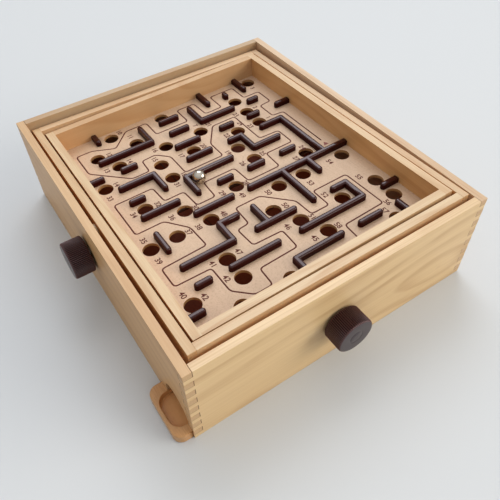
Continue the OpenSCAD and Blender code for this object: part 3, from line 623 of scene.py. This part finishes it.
# Bearing steel: a bright mirror, hazed a little by finger marks. Its colour is painted darker and
# warmer, a painted reflection of the board and a dimmer room
mirror_steel, tree, shader = start_material("polished_bearing_steel")
place = add(tree, "TexCoord")
marks = add(tree, "TexNoise", {"Vector": place.outputs["Object"], "Scale": 1 / (FINGER_MARK_MM * MM),
                               "Detail": 2})
film = add(tree, "MapRange", {"Value": marks.outputs["Fac"], "To Min": 0.03, "To Max": 0.1})
tree.links.new(film.outputs[0], shader.inputs["Roughness"])
# Painted reflection: a warm, darker grey for the board and room that the mirror shows
shader.inputs["Base Color"].default_value = linear("#c9c0b2")
shader.inputs["Metallic"].default_value = 1
low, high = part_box("steel_ball")
bm = bmesh.new()
bmesh.ops.create_icosphere(bm, subdivisions=5, radius=(high.z - low.z) / 2,
                           matrix=Matrix.Translation((low + high) / 2))
ball = new_piece("bearing_ball", bm, mirror_steel, "steel_ball", "polished_steel", "steel_ball")
ball.data.shade_smooth()

# Knobs: dark brown moulded knobs with fine straight ribs for grip, a rounded rim and a satin face
# with one shallow ring. Each is pressed on the end of a steel shaft.
RIBS = 66
RIB_STEPS = 8
RIB_DEPTH = 0.9 * MM
GRIT_MM = 0.7
GRIT_RELIEF = 0.05 * MM
FACE_DEEP_MM = 0.3
# Satin ABS: the mould's fine grit breaks the gloss. The ribs' grooves are painted near black, a
# painted shade in the grooves, and the face is painted greyer, a painted reflection of the pale room
ribbed_brown, tree, shader = start_material("satin_brown_abs")
place = add(tree, "TexCoord")
grit = add(tree, "TexNoise", {"Vector": place.outputs["Object"], "Scale": 1 / (GRIT_MM * MM),
                              "Detail": 2})
brown = add(tree, "Mix", {SHARE: grit.outputs["Fac"], FIRST: linear("#4f2a27"),
                          SECOND: linear("#623733")}, data_type="RGBA")
# Painted shade: the deeper the groove, the nearer its colour comes to black
groove = add(tree, "Attribute", attribute_name="groove")
ribbed = add(tree, "Mix", {SHARE: groove.outputs["Fac"], FIRST: brown.outputs[MIXED],
                           SECOND: linear("#0c0303")}, data_type="RGBA")
# Painted reflection: the flat face is painted grey, for the pale room that it reflects
knob_face = add(tree, "Attribute", attribute_name="face")
face_reflection_painted = add(tree, "Mix", {SHARE: knob_face.outputs["Fac"], FIRST: ribbed.outputs[MIXED],
                            SECOND: linear("#43373a")}, data_type="RGBA")
tree.links.new(face_reflection_painted.outputs[MIXED], shader.inputs["Base Color"])
spark = add(tree, "Bump", {"Height": grit.outputs["Fac"], "Strength": 0.15, "Distance": GRIT_RELIEF})
tree.links.new(spark.outputs[0], shader.inputs["Normal"])
shader.inputs["Roughness"].default_value = 0.32
shader.inputs["Specular IOR Level"].default_value = 0.65
# Rings of the knob's surface from its wall side to the middle of its face: distance from the
# wall side or from the face, distance in from the full radius, and share of the ribs' depth
knob_rings = [
    ("wall", 0, 1.6, 0), ("wall", 0.5, 0.6, 0.4), ("wall", 1.4, 0, 1), ("face", 1.9, 0, 1),
    ("face", 1.0, 0.25, 0.6), ("face", 0.4, 0.7, 0.2), ("face", 0, 1.5, 0), ("face", 0, 10, 0),
    ("face", 0.2, 10.2, 0), ("face", 0.2, 11.0, 0), ("face", 0, 11.2, 0), ("face", 0, 15.5, 0)]
for node, body, turn in (("left_knob", "left_drive", Matrix.Rotation(-math.pi / 2, 4, "Y")),
                         ("front_knob", "front_drive", Matrix.Rotation(math.pi / 2, 4, "X"))):
    low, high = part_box(node)
    radius = (high.z - low.z) / 2
    length = min(high - low)
    middle = (low + high) / 2
    bm = bmesh.new()
    depth = bm.verts.layers.float.new("groove")
    flat = bm.verts.layers.float.new("face")
    bmesh.ops.create_circle(bm, cap_ends=True, segments=RIBS * RIB_STEPS, radius=radius)
    edges = bm.edges[:]
    for step, (side, height, inset, share) in enumerate(knob_rings):
        if step:
            grown = bmesh.ops.extrude_edge_only(bm, edges=edges)["geom"]
            edges = [g for g in grown if isinstance(g, bmesh.types.BMEdge)]
        z = height * MM if side == "wall" else length - height * MM
        for vert in {v for e in edges for v in e.verts}:
            angle = math.atan2(vert.co.y, vert.co.x)
            vert[depth] = share * (0.5 - 0.5 * math.cos(RIBS * angle))
            vert[flat] = 1 if side == "face" and height < FACE_DEEP_MM else 0
            reach = radius - inset * MM - RIB_DEPTH * vert[depth]
            vert.co = (reach * math.cos(angle), reach * math.sin(angle), z - length / 2)
    bmesh.ops.contextual_create(bm, geom=edges)
    bmesh.ops.recalc_face_normals(bm, faces=bm.faces)
    bmesh.ops.transform(bm, matrix=Matrix.Translation(middle) @ turn, verts=bm.verts)
    shade_evenly(new_piece(node + "_ribbed", bm, ribbed_brown, body, "knob_plastic", node))

# Shafts: bright steel rods across the box, each with a collar inside the wall and a washer
# behind the knob. Screw eyes in the rails hold the cords' ends.
dress(drawn_steel, "left_shaft", "left_shaft_collar", "left_knob_washer", "front_shaft",
      "front_shaft_collar", "front_knob_washer", "outer_cord_eyes", "inner_cord_eyes")

# Cords and springs: a waxed cord takes three turns round each shaft and runs to both sides of
# the frame that it tilts, and a small steel tension spring keeps it taut. The turns stay on their
# shaft.
TURNS_REACH = 5 * MM
STRAND_MM = 1.2
WAVE_SCALE = math.pi / 10
# Waxed braid: dark grey-brown strands that cross the cord slantwise, with a dull shine
waxed_cord, tree, shader = start_material("waxed_braid")
place = add(tree, "TexCoord")
strands = add(tree, "TexWave", {"Vector": place.outputs["Object"],
                                "Scale": WAVE_SCALE / (STRAND_MM * MM), "Distortion": 1},
              bands_direction="DIAGONAL")
braid = add(tree, "Mix", {SHARE: strands.outputs["Fac"], FIRST: linear("#2c2620"),
                          SECOND: linear("#4a4238")}, data_type="RGBA")
tree.links.new(braid.outputs[MIXED], shader.inputs["Base Color"])
shader.inputs["Roughness"].default_value = 0.7


def stretch(node, way, start, end):
    """A bmesh of what lies between two distances along the way of a wound CAD node, closed where
    it is cut."""
    bm = merged_copy(node, whole_faces=False)
    for cut_at, outward in ((start, -way), (end, way)):
        whole = bm.verts[:] + bm.edges[:] + bm.faces[:]
        cut = bmesh.ops.bisect_plane(bm, geom=whole, plane_co=way * cut_at, plane_no=outward,
                                     clear_outer=True)["geom_cut"]
        bmesh.ops.holes_fill(bm, edges=[g for g in cut if isinstance(g, bmesh.types.BMEdge)])
    return bm


def round_off(piece):
    """Rounds the six-sided section of a cord or a wire."""
    piece.data.shade_smooth()
    rounding = piece.modifiers.new("rounding", "SUBSURF")
    rounding.levels = 1
    rounding.render_levels = 1


for cord, shaft, axis, still, tilted in (
        ("outer_cord", "left_shaft", 1, "box", "outer_frame"),
        ("inner_cord", "front_shaft", 0, "outer_frame", "inner_frame")):
    way = Vector([i == axis for i in range(3)])
    low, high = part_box(cord)
    middle = sum(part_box(shaft), Vector()) / 2
    near = middle[axis] - TURNS_REACH
    far = middle[axis] + TURNS_REACH
    bm = stretch(cord, way, near, far)
    round_off(new_piece(cord + "_turns", bm, waxed_cord, "box", "cord", cord))
    for side, start, end in (("first", near, low[axis] - MM), ("second", far, high[axis] + MM)):
        bm = stretch(cord, way, min(start, end), max(start, end))
        run = new_piece(cord + "_" + side + "_run", bm, waxed_cord, None, "cord")
        round_off(run)
        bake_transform(run)
    spring = cord + "_spring"
    bm = merged_copy(spring, whole_faces=False)
    round_off(new_piece(spring + "_wound", bm, drawn_steel, tilted, "plain_steel", spring))

# Table, light and tone: a pale satin table top in a room with a light ceiling. A large window far
# behind glints on the tops of the maze strips, a smaller one at the front right lights the front
# wall, and faint lamps under the board and the gaps stand for the light that the box lets in.
FLOOR_SIZE = 8
HAZE_SIZE = 0.6
CEILING_STRENGTH = (0.36, 0.9)
GLOW_BELOW = 6 * MM
GLOW_WIDE = 3 * MM
GLOW_WATTS = 0.0045
# Pale lacquered top: a cool light grey, with a faint haze in its low gloss
pale_top, tree, shader = start_material("pale_table_top")
place = add(tree, "TexCoord")
haze = add(tree, "TexNoise", {"Vector": place.outputs["Object"], "Scale": 1 / HAZE_SIZE, "Detail": 2})
gloss = add(tree, "MapRange", {"Value": haze.outputs["Fac"], "To Min": 0.5, "To Max": 0.65})
tree.links.new(gloss.outputs[0], shader.inputs["Roughness"])
shader.inputs["Base Color"].default_value = linear("#d0d2d2")
shader.inputs["Specular IOR Level"].default_value = 0.12
bm = bmesh.new()
bmesh.ops.create_grid(bm, x_segments=1, y_segments=1, size=FLOOR_SIZE / 2)
mesh = bpy.data.meshes.new("table_top")
bm.to_mesh(mesh)
bm.free()
mesh.materials.append(pale_top)
table_top = bpy.data.objects.new("table_top", mesh)
bpy.context.scene.collection.objects.link(table_top)
world = bpy.data.worlds.new("daylight")
world.use_nodes = True
sky = add(world.node_tree, "TexCoord")
height = add(world.node_tree, "SeparateXYZ", {0: sky.outputs["Generated"]})
ceiling = add(world.node_tree, "MapRange", {"Value": height.outputs["Z"], "From Min": 0, "From Max": 1,
                                            "To Min": CEILING_STRENGTH[0],
                                            "To Max": CEILING_STRENGTH[1]})
background = world.node_tree.nodes["Background"]
background.inputs["Color"].default_value = linear("#f2f4f7")
world.node_tree.links.new(ceiling.outputs[0], background.inputs["Strength"])
bpy.context.scene.world = world
# Name, place, aim, size, watts, beam in degrees and colour of each lamp
lamps = [("back_window", (1.85, 3.2, 4.7), (0, 0, 0), (3.6, 3.6), 128, 180, "#f6f8ff"),
         ("front_window", (2.2, -1.9, 1.3), (0, 0, 0.05), (2.4, 1.6), 9, 70, "#fff9f0"),
         ("under_board", (0, 0, 0.044), (0, 0, 0), (0.24, 0.24), 0.022, 180, "#ffe2c4")]
for side, axis, inner in (("left", 0, 1), ("right", 0, 0), ("front", 1, 1), ("back", 1, 0)):
    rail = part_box("outer_" + side + "_rail")
    at = (rail[0] + rail[1]) / 2
    at[axis] = (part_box(side + "_wall")[inner][axis] + rail[1 - inner][axis]) / 2
    at.z = rail[0].z - GLOW_BELOW
    gap = [GLOW_WIDE if i == axis else rail[1][i] - rail[0][i] for i in (0, 1)]
    lamps.append(("glow_" + side, at, at + Vector((0, 0, 1)), gap, GLOW_WATTS, 70, "#ffb070"))
for name, lamp_at, aim, size, watts, beam, tint in lamps:
    light = bpy.data.lights.new(name, "AREA")
    light.shape = "RECTANGLE"
    light.size, light.size_y = size
    light.energy = watts
    light.color = linear(tint)[:3]
    light.spread = math.radians(beam)
    lamp = bpy.data.objects.new(name, light)
    lamp.location = lamp_at
    lamp.rotation_euler = (Vector(lamp_at) - Vector(aim)).to_track_quat("Z", "Y").to_euler()
    lamp.visible_camera = False
    bpy.context.scene.collection.objects.link(lamp)
bpy.context.scene.view_settings.view_transform = "Standard"
bpy.context.scene.view_settings.exposure = 0.2
bpy.context.scene.view_settings.gamma = 0.9
